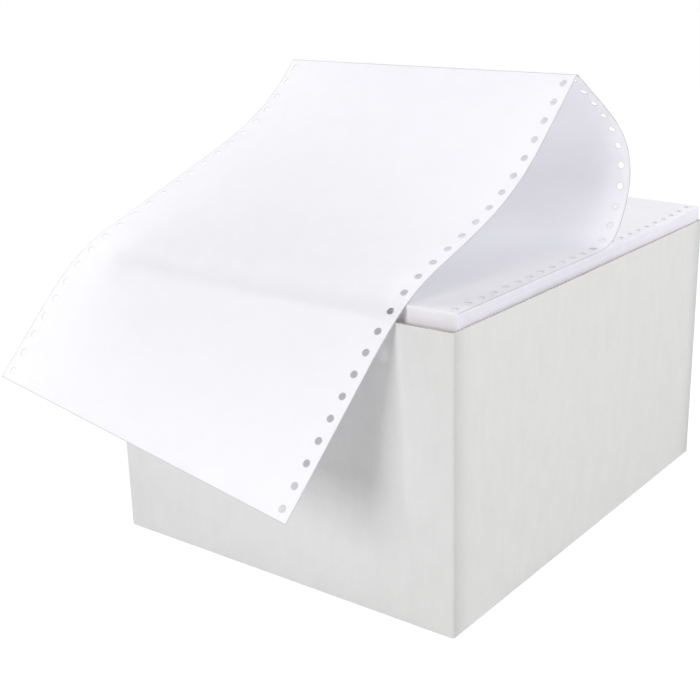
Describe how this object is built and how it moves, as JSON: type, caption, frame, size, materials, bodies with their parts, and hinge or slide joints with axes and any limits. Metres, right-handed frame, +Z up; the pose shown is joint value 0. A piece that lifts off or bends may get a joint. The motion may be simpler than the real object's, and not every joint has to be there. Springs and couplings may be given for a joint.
{
  "type": "stack of continuous form paper",
  "caption": "Blank continuous form paper with pin-feed holes down both sides, fan-folded in an open carton, its first leaves arching up off the stack and hanging over the front.",
  "frame": {"origin": "middle of the carton's underside, on the face that rests on the table", "axes": "-Y is the front, over which the first leaf hangs; +Y runs along the leaves to the rear; +X is the right side seen from the front; +Z is up, out of the carton's open top"},
  "size_m": [0.2889, 0.389, 0.2827],
  "materials": {
    "board": "matt white-faced corrugated board with faint fibres",
    "paper": "matt uncoated white paper"
  },
  "bodies": {
    "root": {"carton": "board", "form_web": "paper"}
  },
  "joints": []
}
